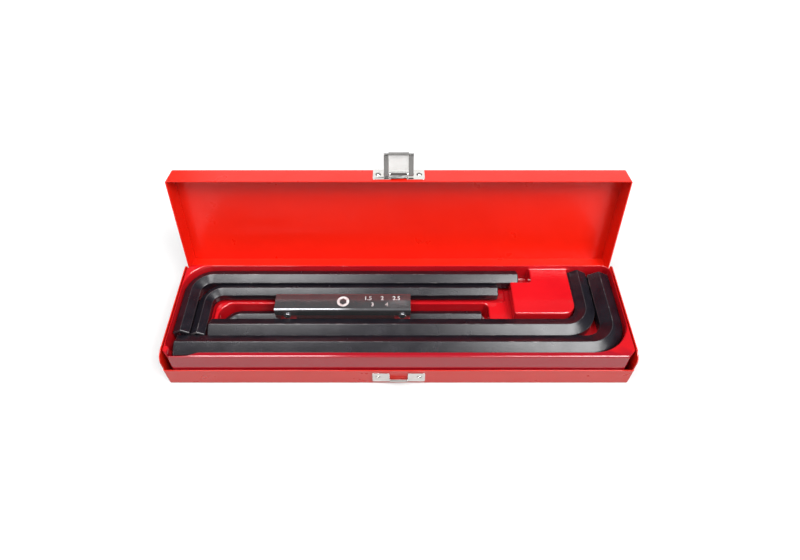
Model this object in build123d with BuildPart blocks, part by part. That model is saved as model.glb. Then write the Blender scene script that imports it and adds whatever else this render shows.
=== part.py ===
"""Hex key set in a hinged steel case: long-arm keys and a folding key set in a plastic tray.

Millimetres, +Z up, +X to the right, front at -Y.  The origin is the middle of the case floor's
underside.  The lid is modelled open, at the angle where it rests on its stops.
"""
import math
import os

from build123d import *

# ---- driving dimensions -------------------------------------------------------------------
CASE_W = 390.0  # outside width of the base
CASE_D = 100.0  # outside depth of the base
SHEET = 0.9  # steel sheet thickness of base and lid
FRONT_H = 21.0  # height of the base's front and back walls
SIDE_H = 38.3  # height of the base's side walls, which stand inside the lid
SIDE_SETBACK = 1.6  # side walls stand this far behind the front face above the front wall
SIDE_CORNER = 9.0  # radius at the top front corner of a side wall
SIDE_REAR_CORNER = 4.0  # radius at the top rear corner of a side wall
SIDE_LAP = 3.0  # how far a side wall's upper part reaches down into the lower box
BEND = 1.4  # outside radius of the sheet's bends
EDGE_R = 1.2  # radius along the base's lower edges and the lid's upper ones
INNER_BEND = 0.6  # inside radius of the sheet's bends
LID_GAP = 0.2  # between the base's walls and the closed lid
LID_SIDE_CLEAR = 0.4  # between a base side wall and the lid's side wall around it
CASE_H = 40.0  # height of the closed case
LID_OPEN = 101.0  # opening angle at the lid's stops, degrees

KNUCKLE_R = 1.9  # outside radius of a hinge knuckle
HINGE_PIN_R = 1.0  # radius of a hinge pin
RUNNING = 0.05  # radial clearance of a pin in its knuckle
HINGE_X = 120.0  # distance of each hinge from the middle of the case
HINGE_W = 36.0  # width of a hinge
MIDDLE_KNUCKLE = 16.0  # width of the middle knuckle, which belongs to the lid's leaf
LEAF_T = 0.9  # thickness of a hinge leaf
LEAF_H = 13.0  # height of a hinge leaf from the pin
KNUCKLE_GAP = 0.2  # between neighbouring knuckles of a hinge
PIN_PROUD = 0.5  # length of a hinge pin past its outer knuckles
STOP_X = 84.0  # distance of each lid stop from the middle of the case
STOP_W = 12.0  # width of a lid stop
STOP_T = 1.2  # thickness of a lid stop's steel strip
STOP_GAP = 0.05  # between a stop and the lid that rests on it
STOP_LEG = (4.0, 12.0)  # heights of the ends of a stop's leg on the base's back
STOP_SHELF = (4.7, 10.8)  # start and end of a stop's shelf along the open lid, from the pivot

PLATE_W = 44.0  # width of the latch and keeper plates
PLATE_T = 1.0  # thickness of those plates
LATCH_PLATE_H = 15.6  # height of the latch plate
LATCH_PLATE_Z = 30.6  # height of its middle with the lid closed
PLATE_CORNER = 1.2  # corner radius of the latch and keeper plates
WINDOW_TOP = 34.9  # height of the upper edge of the latch plate's window, lid closed
KEEPER_H = 13.4  # height of the keeper plate
KEEPER_Z = 4.6  # height of the keeper plate's lower edge
NOTCH_W = 15.4  # width of the notch in the keeper
CHEEK_T = 1.0  # thickness of the latch plate's cheeks, which hold the pin
CHEEK_R = 1.9  # radius of a cheek around the pin
CHEEK_GAP = 0.3  # between a cheek and the lever's rail, and between a cheek and the window
LATCH_PIN_R = 1.0  # radius of the latch pin
LATCH_PIN_Z = 26.5  # height of the latch pin with the lid closed
LATCH_STANDOFF = 3.7  # distance of the latch pin from the lid's front face
LEVER_OPEN = 88.0  # angle of the latch lever from its closed position, degrees
LEVER_LEN = 20.9  # length of the lever from its pin to the end of its hook
LEVER_W = 24.8  # width over the lever's side rails
RAIL_W = 4.0  # width of one side rail
RAIL_BACK = 1.9  # depth of a rail on the inner side of the pin
RAIL_FACE = 1.6  # its depth on the outer side
RAIL_TIP_R = 1.4  # rounding at a rail's far end
RAIL_SHORT = 2.2  # how far a rail's straight part stops short of the hook's end
WEB_T = 1.0  # thickness of the plate between the rails
WEB_START = 4.4  # where that plate starts, from the pin
HOOK_T = 1.0  # thickness of the hook at the plate's end
HOOK_DEPTH = 2.4  # depth of the hook toward the case
ROLL_R = 1.3  # radius of the keeper's rolled lip, which the hook passes under
ROLL_STANDOFF = 1.9  # distance of the roll's axis from the base's front face
ROLL_Z = 8.3  # height of the roll's axis
ROLL_NECK = 1.2  # thickness of the strip that joins the roll to the keeper plate
RIVET_R = 1.3  # radius of a rivet's shank
RIVET_HEAD_R = 2.5  # radius of a rivet's head
RIVET_HEAD_H = 1.3  # height of a rivet's head
RIVET_X = 17.4  # distance of each latch or keeper rivet from the middle
TAIL_R = 2.0  # radius of a rivet's tail inside the case
TAIL_H = 0.6  # height of a rivet's tail
RIVET_CLEAR = 0.03  # radial clearance of a rivet in its holes

SKIN = 1.2  # thickness of the formed plastic tray
TRAY_TOP = 38.4  # height of the tray's rim
TRAY_W = 386.8  # outside width of the tray
TRAY_FRONT = -47.0  # y of the tray's front face
TRAY_BACK = 48.2  # y of the tray's back face
TRAY_CHAMFER = 6.5  # chamfer of the tray's two front corners in plan
TRAY_CORNER = 7.0  # radius of its two back corners in plan
ISLAND_Z = 34.0  # top of the raised island
PLATEAU_Z = 21.0  # level that the folding set lies on
BIG_FLOOR_Z = 14.3  # channel floor under the 19 and 17 mm keys
BACK_FLOOR_Z = 19.0  # channel floor under the 14 and 12 mm keys
KEY_CLEAR = 0.1  # between a lying key and its channel floor

SET_X0 = -108.2  # left end of the folding set
SET_LEN = 118.6  # length of the folding set's channel
SET_Y0 = 0.7  # front face of the channel
SET_W = 18.0  # width of the channel
SET_H = 14.0  # height of the channel
SET_T = 1.0  # thickness of the channel's steel
CHANNEL_BEND = 1.8  # outside radius between the channel's web and its cheeks
CHEEK_CORNER = 4.0  # radius of the lower corners of the channel's cheeks
HEAD_R = 3.4  # radius of a pivot screw's head
HEAD_T = 1.7  # thickness of that head
DRIVE_SLOT = 0.8  # width of its slot
NUT_FLATS = 5.0  # pivot nut, across flats
NUT_T = 1.0  # thickness of a pivot nut
SPACER_R = 2.8  # outside radius of a spacer
PIVOT_INSET = (10.9, 7.4)  # distance of the left and right pivots from their ends of the channel
PIVOT_Z = 27.2  # height of the two pivots
PIVOT_R = 1.5  # radius of a pivot screw
PIVOT_RUNNING = 0.06  # radial clearance of a small key's eye on its pivot screw
EYE_R = 3.6  # outside radius of a small key's eye
EYE_MIN_W = 2.0  # the thinnest eye
LANE_GAP = 0.4  # between neighbouring small keys

# ---- derived levels and frames ------------------------------------------------------------
FRONT_Y = -CASE_D / 2
BACK_Y = CASE_D / 2
PIVOT_Y = BACK_Y + KNUCKLE_R
HINGE_Z = FRONT_H + LID_GAP / 2
FLOOR_TOP = SHEET  # upper face of the case's floor
DEEP_FLOOR_Z = FLOOR_TOP + SKIN
LID_HALF_W = CASE_W / 2 + LID_SIDE_CLEAR + SHEET

open_rad = math.radians(LID_OPEN)
lid_frame = Plane(
    origin=(0, PIVOT_Y, HINGE_Z),
    x_dir=(1, 0, 0),
    z_dir=(0, math.sin(open_rad), math.cos(open_rad)),
)

lid_axis = Axis(lid_frame.origin, lid_frame.z_dir)


def lid_point(x, y, z):
    """Where a point given in closed-case coordinates lies with the lid open."""
    return lid_frame.from_local_coords(Vector(x, y - PIVOT_Y, z - HINGE_Z))


def lid_level(z):
    """Plane across the lid at a closed height z, with the closed case's x and y."""
    return Plane(origin=lid_point(0, 0, z), x_dir=lid_frame.x_dir, z_dir=lid_frame.z_dir)


def lid_section(x):
    """Plane across the lid at x: its own x is the closed case's y, its own y the closed z."""
    return Plane(origin=lid_point(x, 0, 0), x_dir=lid_frame.y_dir, z_dir=lid_frame.x_dir)


def lid_wall(y):
    """Plane along the lid at a closed y, facing the front: its own y is the closed z."""
    return Plane(origin=lid_point(0, y, 0), x_dir=lid_frame.x_dir, z_dir=-lid_frame.y_dir)


def base_section(x):
    """Plane across the base at x: its own x is the case's y, its own y is z."""
    return Plane(origin=(x, 0, 0), x_dir=(0, 1, 0), z_dir=(1, 0, 0))


def base_wall(y):
    """Plane along the base at y, facing the front: its own y is z."""
    return Plane(origin=(0, y, 0), x_dir=(1, 0, 0), z_dir=(0, -1, 0))


def span(x0, x1, y0, y1, mode=Mode.ADD):
    """A rectangle between two x and two y values of the sketch."""
    with Locations(((x0 + x1) / 2, (y0 + y1) / 2)):
        Rectangle(x1 - x0, y1 - y0, mode=mode)


def finish(builder, name):
    """Label a finished piece and write its STEP file."""
    builder.part.label = name
    export_step(builder.part, f"parts/{name}.step")


os.makedirs("parts", exist_ok=True)

# ---- case base ------------------------------------------------------------------------------
KEEPER_RIVET_Z = KEEPER_Z + KEEPER_H / 2
LEAF_RIVET_DROP = 8.4
LEAF_RIVET_X = HINGE_W / 2 - 7.0
hinge_rivet_x = [side * HINGE_X + s * LEAF_RIVET_X for side in (-1, 1) for s in (-1, 1)]

with BuildPart() as case_base:
    with BuildSketch():
        RectangleRounded(CASE_W, CASE_D, BEND)
    extrude(amount=FRONT_H)
    fillet(case_base.faces().sort_by(Axis.Z)[0].edges(), radius=EDGE_R)
    with BuildSketch(Plane.XY.offset(SHEET)):
        RectangleRounded(CASE_W - 2 * SHEET, CASE_D - 2 * SHEET, INNER_BEND)
    extrude(amount=FRONT_H, mode=Mode.SUBTRACT)
    for side in (-1, 1):
        inner_x = side * (CASE_W / 2 - SHEET) if side > 0 else -CASE_W / 2
        with BuildSketch(base_section(inner_x)) as side_wall:
            span(FRONT_Y + SIDE_SETBACK, BACK_Y - BEND, FRONT_H - SIDE_LAP, SIDE_H)
            top = side_wall.vertices().group_by(Axis.Y)[-1].sort_by(Axis.X)
            fillet(top[0], radius=SIDE_CORNER)
            top = side_wall.vertices().group_by(Axis.Y)[-1].sort_by(Axis.X)
            fillet(top[-1], radius=SIDE_REAR_CORNER)
        extrude(amount=SHEET)
    with BuildSketch(base_wall(FRONT_Y)):
        with Locations(*[(s * RIVET_X, KEEPER_RIVET_Z) for s in (-1, 1)]):
            Circle(RIVET_R + RIVET_CLEAR)
    extrude(amount=-2 * SHEET, mode=Mode.SUBTRACT)
    with BuildSketch(base_wall(BACK_Y)):
        with Locations(*[(x, HINGE_Z - LEAF_RIVET_DROP) for x in hinge_rivet_x]):
            Circle(RIVET_R + RIVET_CLEAR)
    extrude(amount=2 * SHEET, mode=Mode.SUBTRACT)
finish(case_base, "case_base")

# ---- lid --------------------------------------------------------------------------------------
with BuildPart() as case_lid:
    with BuildSketch(lid_level(FRONT_H + LID_GAP)):
        RectangleRounded(2 * LID_HALF_W, CASE_D, BEND)
    extrude(amount=CASE_H - FRONT_H - LID_GAP)
    fillet(case_lid.faces().sort_by(lid_axis)[-1].edges(), radius=EDGE_R)
    with BuildSketch(lid_level(FRONT_H + LID_GAP)):
        RectangleRounded(2 * (LID_HALF_W - SHEET), CASE_D - 2 * SHEET, INNER_BEND)
    extrude(amount=CASE_H - FRONT_H - LID_GAP - SHEET, mode=Mode.SUBTRACT)
    with BuildSketch(lid_wall(FRONT_Y)):
        with Locations(*[(s * RIVET_X, LATCH_PLATE_Z) for s in (-1, 1)]):
            Circle(RIVET_R + RIVET_CLEAR)
    extrude(amount=-2 * SHEET, mode=Mode.SUBTRACT)
    with BuildSketch(lid_wall(BACK_Y)):
        with Locations(*[(x, HINGE_Z + LEAF_RIVET_DROP) for x in hinge_rivet_x]):
            Circle(RIVET_R + RIVET_CLEAR)
    extrude(amount=2 * SHEET, mode=Mode.SUBTRACT)
finish(case_lid, "case_lid")

# ---- hinges -----------------------------------------------------------------------------------
SIDE_KNUCKLE = (HINGE_W - MIDDLE_KNUCKLE) / 2 - KNUCKLE_GAP
RELIEF = KNUCKLE_R + 0.4  # how far from the pin a leaf stays as wide as its knuckles
ring_r = KNUCKLE_R - RUNNING


def knuckle_spans(outer):
    """Start x and width of a leaf's knuckles on both hinges: outer pair or middle one."""
    spans = []
    for side in (-1, 1):
        left = side * HINGE_X - HINGE_W / 2
        if outer:
            spans.append((left, SIDE_KNUCKLE))
            spans.append((left + HINGE_W - SIDE_KNUCKLE, SIDE_KNUCKLE))
        else:
            spans.append((left + (HINGE_W - MIDDLE_KNUCKLE) / 2, MIDDLE_KNUCKLE))
    return spans


def leaf_pair(section, wall, outer, up):
    """Both hinges' leaves of one kind; up is 1 for the lid's leaves and -1 for the base's."""
    for start, width in knuckle_spans(outer):
        with BuildSketch(section(start)) as knuckle:
            with Locations((PIVOT_Y, HINGE_Z)):
                Circle(ring_r)
            with Locations((BACK_Y + LEAF_T / 2, HINGE_Z + up * RELIEF / 2)):
                Rectangle(LEAF_T, RELIEF)
            with Locations((PIVOT_Y, HINGE_Z)):
                Circle(HINGE_PIN_R + RUNNING, mode=Mode.SUBTRACT)
        extrude(knuckle.sketch, amount=width)
    with BuildSketch(wall(BACK_Y)) as leaves:
        for side in (-1, 1):
            with Locations((side * HINGE_X, HINGE_Z + up * (RELIEF + LEAF_H) / 2)):
                Rectangle(HINGE_W, LEAF_H - RELIEF)
        with Locations(*[(x, HINGE_Z + up * LEAF_RIVET_DROP) for x in hinge_rivet_x]):
            Circle(RIVET_R + RIVET_CLEAR, mode=Mode.SUBTRACT)
    extrude(leaves.sketch, amount=-LEAF_T)


with BuildPart() as hinge_leaves_base:
    leaf_pair(base_section, base_wall, True, -1)
finish(hinge_leaves_base, "hinge_leaves_base")

with BuildPart() as hinge_leaves_lid:
    leaf_pair(lid_section, lid_wall, False, 1)
finish(hinge_leaves_lid, "hinge_leaves_lid")

with BuildPart() as hinge_pins:
    for side in (-1, 1):
        with BuildSketch(base_section(side * HINGE_X - HINGE_W / 2 - PIN_PROUD)):
            with Locations((PIVOT_Y, HINGE_Z)):
                Circle(HINGE_PIN_R)
        extrude(amount=HINGE_W + 2 * PIN_PROUD)
finish(hinge_pins, "hinge_pins")


# ---- rivets -----------------------------------------------------------------------------------
def rivet(origin, outward, grip):
    """One domed rivet whose head stands on the plane at origin, facing outward."""
    out = Vector(*outward)
    across = Vector(1, 0, 0)
    tail = grip + TAIL_H
    with BuildSketch(Plane(origin=origin, x_dir=across, z_dir=across.cross(out))) as half:
        with BuildLine():
            Polyline((0, RIVET_HEAD_H), (0, -tail), (TAIL_R, -tail), (TAIL_R, -grip))
            Polyline((TAIL_R, -grip), (RIVET_R, -grip), (RIVET_R, 0), (RIVET_HEAD_R, 0))
            TangentArc((0, RIVET_HEAD_H), (RIVET_HEAD_R, 0), tangent=(1, 0))
        make_face()
    revolve(half.sketch, axis=Axis(origin, out))


to_front = (0, -1, 0)
to_back = (0, 1, 0)
lid_front = tuple(-lid_frame.y_dir)
lid_back = tuple(lid_frame.y_dir)

with BuildPart() as hinge_rivets_base:
    for x in hinge_rivet_x:
        rivet((x, BACK_Y + LEAF_T, HINGE_Z - LEAF_RIVET_DROP), to_back, LEAF_T + SHEET)
finish(hinge_rivets_base, "hinge_rivets_base")

with BuildPart() as hinge_rivets_lid:
    for x in hinge_rivet_x:
        head = lid_point(x, BACK_Y + LEAF_T, HINGE_Z + LEAF_RIVET_DROP)
        rivet(head, lid_back, LEAF_T + SHEET)
finish(hinge_rivets_lid, "hinge_rivets_lid")

with BuildPart() as keeper_rivets:
    for s in (-1, 1):
        rivet((s * RIVET_X, FRONT_Y - PLATE_T, KEEPER_RIVET_Z), to_front, PLATE_T + SHEET)
finish(keeper_rivets, "keeper_rivets")

with BuildPart() as latch_rivets:
    for s in (-1, 1):
        head = lid_point(s * RIVET_X, FRONT_Y - PLATE_T, LATCH_PLATE_Z)
        rivet(head, lid_front, PLATE_T + SHEET)
finish(latch_rivets, "latch_rivets")

# ---- lid stops: bent strips on the back that the open lid rests on ------------------------------
along = Vector(0, math.sin(open_rad), math.cos(open_rad))
lid_back_face = Vector(0, PIVOT_Y, HINGE_Z) - KNUCKLE_R * lid_frame.y_dir
shelf_down = lid_frame.y_dir * (STOP_GAP + STOP_T / 2)
shelf_near = lid_back_face + along * STOP_SHELF[0] + shelf_down
shelf_far = lid_back_face + along * STOP_SHELF[1] + shelf_down
leg_y = BACK_Y + STOP_T / 2

with BuildPart() as lid_stops:
    for side in (-1, 1):
        with BuildSketch(base_section(side * STOP_X - STOP_W / 2)):
            with BuildLine():
                Polyline(
                    (leg_y, STOP_LEG[0]),
                    (leg_y, STOP_LEG[1]),
                    (shelf_near.Y, shelf_near.Z),
                    (shelf_far.Y, shelf_far.Z),
                )
                offset(amount=STOP_T / 2, kind=Kind.INTERSECTION, side=Side.BOTH)
            make_face()
        extrude(amount=STOP_W)
finish(lid_stops, "lid_stops")

# ---- latch plate and lever on the lid, keeper on the base ----------------------------------------
CHEEK_X = LEVER_W / 2 - RAIL_W - CHEEK_GAP - CHEEK_T
WINDOW_X = CHEEK_X - CHEEK_GAP

with BuildPart() as latch_plate:
    with BuildSketch(lid_wall(FRONT_Y)):
        with Locations((0, LATCH_PLATE_Z)):
            RectangleRounded(PLATE_W, LATCH_PLATE_H, PLATE_CORNER)
        span(-WINDOW_X, WINDOW_X, FRONT_H, WINDOW_TOP, mode=Mode.SUBTRACT)
        with Locations(*[(s * RIVET_X, LATCH_PLATE_Z) for s in (-1, 1)]):
            Circle(RIVET_R + RIVET_CLEAR, mode=Mode.SUBTRACT)
    extrude(amount=PLATE_T)
    for start in (-CHEEK_X - CHEEK_T, CHEEK_X):
        with BuildSketch(lid_section(start)):
            pin_y = FRONT_Y - LATCH_STANDOFF
            with Locations((pin_y, LATCH_PIN_Z)):
                Circle(CHEEK_R)
            with Locations(((pin_y + FRONT_Y - PLATE_T / 2) / 2, LATCH_PIN_Z)):
                Rectangle(LATCH_STANDOFF - PLATE_T / 2, 2 * CHEEK_R)
            with Locations((pin_y, LATCH_PIN_Z)):
                Circle(LATCH_PIN_R + RUNNING, mode=Mode.SUBTRACT)
        extrude(amount=CHEEK_T)
finish(latch_plate, "latch_plate")

pin_at = lid_point(0, FRONT_Y - LATCH_STANDOFF, LATCH_PIN_Z)
with BuildPart() as latch_pin:
    with BuildSketch(Plane(origin=pin_at, x_dir=lid_frame.y_dir, z_dir=(1, 0, 0))):
        Circle(LATCH_PIN_R)
    extrude(amount=LEVER_W / 2 + CHEEK_GAP, both=True)
finish(latch_pin, "latch_pin")

# The lever's own frame: x along the pin, y along the lever away from it, z its outer side.
lever_turn = math.radians(LEVER_OPEN)
lever_along = -lid_frame.z_dir * math.cos(lever_turn) - lid_frame.y_dir * math.sin(lever_turn)
lever_out = -lid_frame.y_dir * math.cos(lever_turn) + lid_frame.z_dir * math.sin(lever_turn)


def lever_section(x):
    """Plane across the lever at x: its own x runs along the lever, its own y outward."""
    return Plane(origin=pin_at + Vector(x, 0, 0), x_dir=lever_along, z_dir=(-1, 0, 0))


with BuildPart() as latch_lever:
    rail_far = LEVER_LEN - RAIL_SHORT
    for start in (-LEVER_W / 2 + RAIL_W, LEVER_W / 2):
        with BuildSketch(lever_section(start)):
            with BuildLine():
                far_face = (rail_far, RAIL_FACE)
                far_back = (rail_far, -RAIL_TIP_R)
                Line((0, RAIL_FACE), far_face)
                ThreePointArc(far_face, (rail_far + RAIL_TIP_R, 0), far_back)
                Line(far_back, (0, -RAIL_BACK))
                ThreePointArc((0, -RAIL_BACK), (0.1 - RAIL_BACK, 0), (0, RAIL_FACE))
            make_face()
            Circle(LATCH_PIN_R + RUNNING, mode=Mode.SUBTRACT)
        extrude(amount=RAIL_W)
    with BuildSketch(lever_section(LEVER_W / 2 - RAIL_W)):
        with Locations(((WEB_START + LEVER_LEN) / 2, WEB_T / 2)):
            Rectangle(LEVER_LEN - WEB_START, WEB_T)
        with Locations((LEVER_LEN - HOOK_T / 2, -HOOK_DEPTH / 2)):
            Rectangle(HOOK_T, HOOK_DEPTH)
    extrude(amount=LEVER_W - 2 * RAIL_W)
finish(latch_lever, "latch_lever")

ROLL_GAP = 0.3  # between each end of the roll and the notch's side
with BuildPart() as keeper_plate:
    with BuildSketch(base_wall(FRONT_Y)):
        with Locations((0, KEEPER_Z + KEEPER_H / 2)):
            RectangleRounded(PLATE_W, KEEPER_H, PLATE_CORNER)
        with Locations((0, ROLL_Z + KEEPER_H / 2)):
            Rectangle(NOTCH_W, KEEPER_H, mode=Mode.SUBTRACT)
        with Locations(*[(s * RIVET_X, KEEPER_RIVET_Z) for s in (-1, 1)]):
            Circle(RIVET_R + RIVET_CLEAR, mode=Mode.SUBTRACT)
    extrude(amount=PLATE_T)
    roll_y = FRONT_Y - ROLL_STANDOFF
    with BuildSketch(base_section(-NOTCH_W / 2 + ROLL_GAP)):
        with Locations((roll_y, ROLL_Z)):
            Circle(ROLL_R)
        span(roll_y, FRONT_Y - PLATE_T / 2, ROLL_Z - ROLL_NECK / 2, ROLL_Z + ROLL_NECK / 2)
    extrude(amount=NOTCH_W - 2 * ROLL_GAP)
finish(keeper_plate, "keeper_plate")

# ---- loose keys ---------------------------------------------------------------------------------
# across flats: long arm, short arm, x of the short arm's outer face, y of the long arm's axis,
# channel floor, side that the bend is on (1 right, -1 left), way the short arm points (y)
LOOSE_KEYS = {
    19.0: (379.0, 84.0, 191.7, -31.4, BIG_FLOOR_Z, 1, 1),
    17.0: (335.0, 67.9, 172.0, -12.7, BIG_FLOOR_Z, 1, 1),
    14.0: (300.0, 67.0, -191.5, 39.7, BACK_FLOOR_Z, -1, -1),
    12.0: (266.0, 53.0, -176.9, 26.2, BACK_FLOOR_Z, -1, -1),
    10.0: (234.0, 50.0, -158.8, 11.3, DEEP_FLOOR_Z, -1, -1),
}
BEND_RATIO = 1.2  # bend radius on the axis, in widths across flats
TIP_CHAMFER = 0.06  # chamfer of a key's ends, in widths across flats


def hex_key(size):
    """One L-shaped key that lies corner up on its channel floor."""
    long_arm, short_arm, outer_x, y, floor, side, toward = LOOSE_KEYS[size]
    corner_r = size / math.sqrt(3)
    z = floor + KEY_CLEAR + corner_r
    bend_x = outer_x - side * size / 2
    tip_x = outer_x - side * long_arm
    tip_y = y - toward * size / 2 + toward * short_arm
    with BuildLine() as axis_line:
        FilletPolyline(
            (tip_x, y, z),
            (bend_x, y, z),
            (bend_x, tip_y, z),
            radius=BEND_RATIO * size,
        )
    with BuildSketch(Plane(origin=(tip_x, y, z), x_dir=(0, 1, 0), z_dir=(side, 0, 0))) as bar:
        RegularPolygon(radius=corner_r, side_count=6, rotation=30)
    sweep(bar.sketch, path=axis_line.wires()[0])


def chamfer_tips(builder, size):
    """Break the edges of both hexagonal ends of a key."""
    area = size * size * math.sqrt(3) / 2
    flat_faces = builder.faces().filter_by(GeomType.PLANE)
    ends = [f for f in flat_faces if abs(f.area - area) < 0.01 * area]
    edges = [e for f in ends for e in f.edges()]
    chamfer(edges, length=TIP_CHAMFER * size)


with BuildPart() as hex_key_19:
    hex_key(19.0)
    chamfer_tips(hex_key_19, 19.0)
finish(hex_key_19, "hex_key_19")

with BuildPart() as hex_key_17:
    hex_key(17.0)
    chamfer_tips(hex_key_17, 17.0)
finish(hex_key_17, "hex_key_17")

with BuildPart() as hex_key_14:
    hex_key(14.0)
    chamfer_tips(hex_key_14, 14.0)
finish(hex_key_14, "hex_key_14")

with BuildPart() as hex_key_12:
    hex_key(12.0)
    chamfer_tips(hex_key_12, 12.0)
finish(hex_key_12, "hex_key_12")

with BuildPart() as hex_key_10:
    hex_key(10.0)
    chamfer_tips(hex_key_10, 10.0)
finish(hex_key_10, "hex_key_10")

# ---- tray ---------------------------------------------------------------------------------------
POCKET_X = TRAY_W / 2 - SKIN  # half width of the pocket area
POCKET_FRONT = -41.6
POCKET_BACK = TRAY_BACK - SKIN
ISLAND = (100.0, 154.4, -2.4)  # left, right and front of the raised island
ISLAND_R = 3.0  # radius of the island's left corner
ISLAND_MARGIN = 2.0  # how far the cut down to its top reaches over the lower levels
BAY_X = (-188.2, -172.0)  # bay at the 19 mm key's tip, where a finger gets under it
BAY_FRONT = -44.8  # front edge of the bay
BIG_BACK = -3.4  # back edge of the channel for the 19 and 17 mm keys
BIG_INNER_R = 11.3  # radius of the island's corner inside the 17 mm key's bend
BIG_OUTER_R = 32.5  # radius of the pocket's corner outside the 19 mm key's bend
LEFT_STRIP_X = -164.0  # right edge of the left channel for the 14 and 12 mm keys
LEFT_STRIP_Y = -21.3  # front edge of that channel
BACK_STRIP_Y = 19.6  # front edge of the back channel
BACK_STRIP_END = 96.0  # its right end
BACK_INNER_R = 8.0  # radius of the corner inside the 12 mm key's bend
BACK_OUTER_R = 24.0  # radius of the pocket's corner outside the 14 mm key's bend
NOTCH_14 = (32.4, 119.0)  # front edge and right end of the 14 mm key's own notch
SLOT_X = (-159.8, -147.6)  # slot for the 10 mm key's short arm
SLOT_FRONT = -34.8
CENTRE_END = 80.0  # right end of the middle pocket
CENTRE_BACK = 16.7  # back edge of the middle pocket
BOSS = (15.0, 4.2)  # width and back edge of each boss under the folding set
boss_x = (SET_X0 + PIVOT_INSET[0], SET_X0 + SET_LEN - PIVOT_INSET[1])


def round_corner(area, x, y, radius):
    """Round the corner of a sketch that is nearest to x, y."""
    corner = area.vertices().sort_by_distance((x, y, 0))[0]
    fillet(corner, radius=radius)


def tray_outline(area, inset):
    """The tray's outline in plan, drawn in by inset."""
    half_w = TRAY_W / 2 - inset
    span(-half_w, half_w, TRAY_FRONT + inset, TRAY_BACK - inset)
    for side in (-1, 1):
        round_corner(area, side * half_w, TRAY_BACK - inset, TRAY_CORNER - inset)
    front = area.vertices().group_by(Axis.Y)[0]
    chamfer(front, length=TRAY_CHAMFER - (2 - math.sqrt(2)) * inset)


def island_top(area, grow):
    """The island with a margin over its neighbours, down to the island's top."""
    left, right, front = ISLAND
    reach = ISLAND_MARGIN + grow
    span(left - reach, right + reach, front - reach, POCKET_BACK + grow)


def open_area(area, grow):
    """Everything inside the rim except the island, down to the plateau."""
    left, right, front = ISLAND
    span(-POCKET_X, POCKET_X, POCKET_FRONT, POCKET_BACK)
    span(*BAY_X, BAY_FRONT, POCKET_BACK)
    span(left, right, front, POCKET_BACK + 2, mode=Mode.SUBTRACT)
    round_corner(area, left, front, ISLAND_R)
    round_corner(area, right, front, BIG_INNER_R)
    round_corner(area, POCKET_X, POCKET_FRONT, BIG_OUTER_R)
    round_corner(area, -POCKET_X, POCKET_BACK, BACK_OUTER_R)
    if grow:
        offset(amount=grow, kind=Kind.INTERSECTION)


def big_channel(area, grow):
    """The channel for the 19 and 17 mm keys, with the bay at the 19 mm key's tip."""
    span(BAY_X[0] - grow, POCKET_X + grow, POCKET_FRONT - grow, BIG_BACK + grow)
    span(BAY_X[0] - grow, BAY_X[1] + grow, BAY_FRONT - grow, BIG_BACK + grow)
    span(ISLAND[1] - grow, POCKET_X + grow, POCKET_FRONT - grow, POCKET_BACK + grow)
    round_corner(area, ISLAND[1] - grow, BIG_BACK + grow, BIG_INNER_R - grow)
    round_corner(area, POCKET_X + grow, POCKET_FRONT - grow, BIG_OUTER_R + grow)


def back_channel(area, grow):
    """The channel for the 14 and 12 mm keys, with the 14 mm key's notch."""
    span(-POCKET_X - grow, BACK_STRIP_END + grow, BACK_STRIP_Y - grow, POCKET_BACK + grow)
    span(-POCKET_X - grow, NOTCH_14[1] + grow, NOTCH_14[0] - grow, POCKET_BACK + grow)
    span(-POCKET_X - grow, LEFT_STRIP_X + grow, LEFT_STRIP_Y - grow, POCKET_BACK + grow)
    round_corner(area, LEFT_STRIP_X + grow, BACK_STRIP_Y - grow, BACK_INNER_R - grow)
    round_corner(area, -POCKET_X - grow, POCKET_BACK + grow, BACK_OUTER_R + grow)


def middle_pocket(area, grow):
    """The deep pocket for the 10 mm key, around the bosses under the folding set."""
    span(SLOT_X[0] - grow, CENTRE_END + grow, BIG_BACK - grow, CENTRE_BACK + grow)
    for x in boss_x:
        half = BOSS[0] / 2 - grow
        span(x - half, x + half, BIG_BACK - 2 * grow, BOSS[1] - grow, mode=Mode.SUBTRACT)
    span(SLOT_X[0] - grow, SLOT_X[1] + grow, SLOT_FRONT - grow, BIG_BACK + grow)


TRAY_LEVELS = (
    (island_top, ISLAND_Z),
    (open_area, PLATEAU_Z),
    (big_channel, BIG_FLOOR_Z),
    (back_channel, BACK_FLOOR_Z),
    (middle_pocket, DEEP_FLOOR_Z),
)

with BuildPart() as tray_void:
    with BuildSketch(Plane.XY.offset(FLOOR_TOP - 1)) as inside:
        tray_outline(inside, SKIN)
    extrude(amount=TRAY_TOP - SKIN - FLOOR_TOP + 1)
    for level_area, level_z in TRAY_LEVELS:
        bottom = level_z - SKIN
        with BuildSketch(Plane.XY.offset(bottom)) as area:
            level_area(area, SKIN)
        extrude(amount=TRAY_TOP - bottom, mode=Mode.SUBTRACT)

with BuildPart() as key_tray:
    with BuildSketch(Plane.XY.offset(FLOOR_TOP)) as outside:
        tray_outline(outside, 0)
    extrude(amount=TRAY_TOP - FLOOR_TOP)
    for level_area, level_z in TRAY_LEVELS:
        with BuildSketch(Plane.XY.offset(level_z)) as area:
            level_area(area, 0)
        extrude(amount=TRAY_TOP - level_z + 1, mode=Mode.SUBTRACT)
    add(tray_void.part, mode=Mode.SUBTRACT)
finish(key_tray, "key_tray")

# ---- folding key set -------------------------------------------------------------------------------
SET_Z0 = PLATEAU_Z + KEY_CLEAR
SET_Z1 = SET_Z0 + SET_H
SET_Y1 = SET_Y0 + SET_W

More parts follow.
